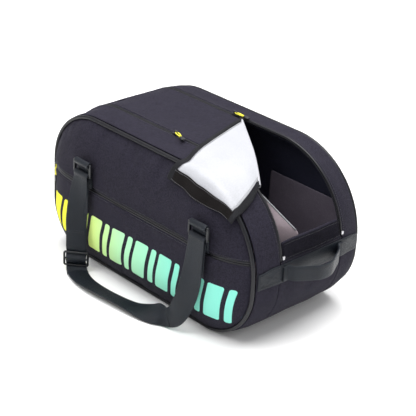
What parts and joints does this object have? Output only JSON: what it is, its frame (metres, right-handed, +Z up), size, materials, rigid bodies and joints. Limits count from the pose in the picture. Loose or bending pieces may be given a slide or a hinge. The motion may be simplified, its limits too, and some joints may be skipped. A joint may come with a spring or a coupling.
{
  "type": "racket tournament bag",
  "caption": "Padded racket duffel with zipped front pocket, open-end lid flap, two carry handles on rings and a grab handle.",
  "frame": {"origin": "centre of the flat base, on the surface the bag stands on", "axes": "+X along the bag towards the open end, -Y towards the pocket side, +Z up"},
  "size_m": [0.5645, 0.4612, 0.2948],
  "materials": {
    "shell_fabric": "heather plain-weave polyester, matt with a soft sheen",
    "base_fabric": "coated polyester, matt",
    "piping": "glossy extruded piping",
    "zip_tape": "coated zipper tape, satin",
    "webbing": "smooth woven webbing, satin",
    "moulded_plastic": "moulded acetal, satin",
    "slider_metal": "dark painted die-cast metal",
    "stop_metal": "bright metal",
    "pull_cord": "braided cord, yellow",
    "pull_plastic": "soft moulded plastic",
    "hook_tape": "hook tape, ribbed",
    "loop_tape": "brushed loop pile",
    "binding": "grosgrain binding",
    "white_lining": "smooth thermal lining",
    "dark_lining": "thin woven lining",
    "board": "stiff sheet"
  },
  "bodies": {
    "bag": {"base_board": "board", "base_panel": "base_fabric", "centre_lid": "shell_fabric", "divider_sheet": "white_lining", "divider_wing": "white_lining", "end_band": "webbing", "front_gusset": "shell_fabric", "front_handle_anchor_left": "webbing", "front_handle_anchor_right": "webbing", "front_piping": "piping", "front_upper_panel": "shell_fabric", "front_wall": "dark_lining", "grab_handle": "webbing", "left_end_panel": "shell_fabric", "loop_patch": "loop_tape", "main_lining": "dark_lining", "main_zip_tape_front": "zip_tape", "main_zip_tape_rear": "zip_tape", "pocket_panel": "shell_fabric", "pocket_zip_tape": "zip_tape", "rear_gusset": "shell_fabric", "rear_handle_anchor_left": "webbing", "rear_handle_anchor_right": "webbing", "rear_panel": "shell_fabric", "rear_piping": "piping", "rear_wall": "dark_lining", "right_end_panel": "shell_fabric", "zip_stop_front": "stop_metal", "zip_stop_rear": "stop_metal"},
    "flap": {"flap_binding_front": "binding", "flap_binding_rear": "binding", "flap_hook_strip": "hook_tape", "flap_lining": "white_lining", "flap_shell": "shell_fabric"},
    "main_slider_front": {"main_slider_front": "slider_metal"},
    "main_slider_rear": {"main_slider_rear": "slider_metal"},
    "pocket_slider": {"pocket_slider": "slider_metal"},
    "main_pull_front": {"main_pull_front_cord": "pull_cord", "main_pull_front_end": "pull_plastic"},
    "main_pull_rear": {"main_pull_rear_cord": "pull_cord", "main_pull_rear_end": "pull_plastic"},
    "pocket_pull": {"pocket_pull_cord": "pull_cord", "pocket_pull_end": "pull_plastic"},
    "front_handle": {"front_handle_buckle": "moulded_plastic", "front_handle_ring_left": "moulded_plastic", "front_handle_ring_right": "moulded_plastic", "front_handle_strap_grip": "webbing", "front_handle_strap_left": "webbing", "front_handle_strap_right": "webbing"},
    "rear_handle": {"rear_handle_buckle": "moulded_plastic", "rear_handle_ring_left": "moulded_plastic", "rear_handle_ring_right": "moulded_plastic", "rear_handle_strap_grip": "webbing", "rear_handle_strap_left": "webbing", "rear_handle_strap_right": "webbing"}
  },
  "joints": [
    {"name": "flap_fold", "type": "hinge", "parent": "bag", "child": "flap", "pos_m": [0.2, -0.0685, 0.26222], "axis": [-0.7939, 0.5976, 0.1125], "range_deg": [0, 110]},
    {"name": "front_handle_swing", "type": "hinge", "parent": "bag", "child": "front_handle", "pos_m": [0, -0.16568, 0.212], "axis": [-1, 0, 0], "range_deg": [0, 150]},
    {"name": "rear_handle_swing", "type": "hinge", "parent": "bag", "child": "rear_handle", "pos_m": [0, 0.15268, 0.212], "axis": [1, 0, 0], "range_deg": [0, 150]},
    {"name": "main_slider_front_run", "type": "slide", "parent": "bag", "child": "main_slider_front", "axis": [1, 0, 0], "range_m": [-0.14, 0]},
    {"name": "main_slider_rear_run", "type": "slide", "parent": "bag", "child": "main_slider_rear", "axis": [1, 0, 0], "range_m": [-0.14, 0]},
    {"name": "pocket_slider_run", "type": "slide", "parent": "bag", "child": "pocket_slider", "axis": [0.9571, -0.2897, 0], "range_m": [0, 0.058]},
    {"name": "main_pull_front_flip", "type": "hinge", "parent": "main_slider_front", "child": "main_pull_front", "pos_m": [0.004, -0.072, 0.292], "axis": [-0.342, -0.9397, 0], "range_deg": [0, 150]},
    {"name": "main_pull_rear_flip", "type": "hinge", "parent": "main_slider_rear", "child": "main_pull_rear", "pos_m": [0.002, 0.072, 0.292], "axis": [0, -1, 0], "range_deg": [0, 150]},
    {"name": "pocket_pull_flip", "type": "hinge", "parent": "pocket_slider", "child": "pocket_pull", "pos_m": [-0.23739, -0.14103, 0.162], "axis": [-0.9571, 0.2897, 0], "range_deg": [0, 150]}
  ]
}
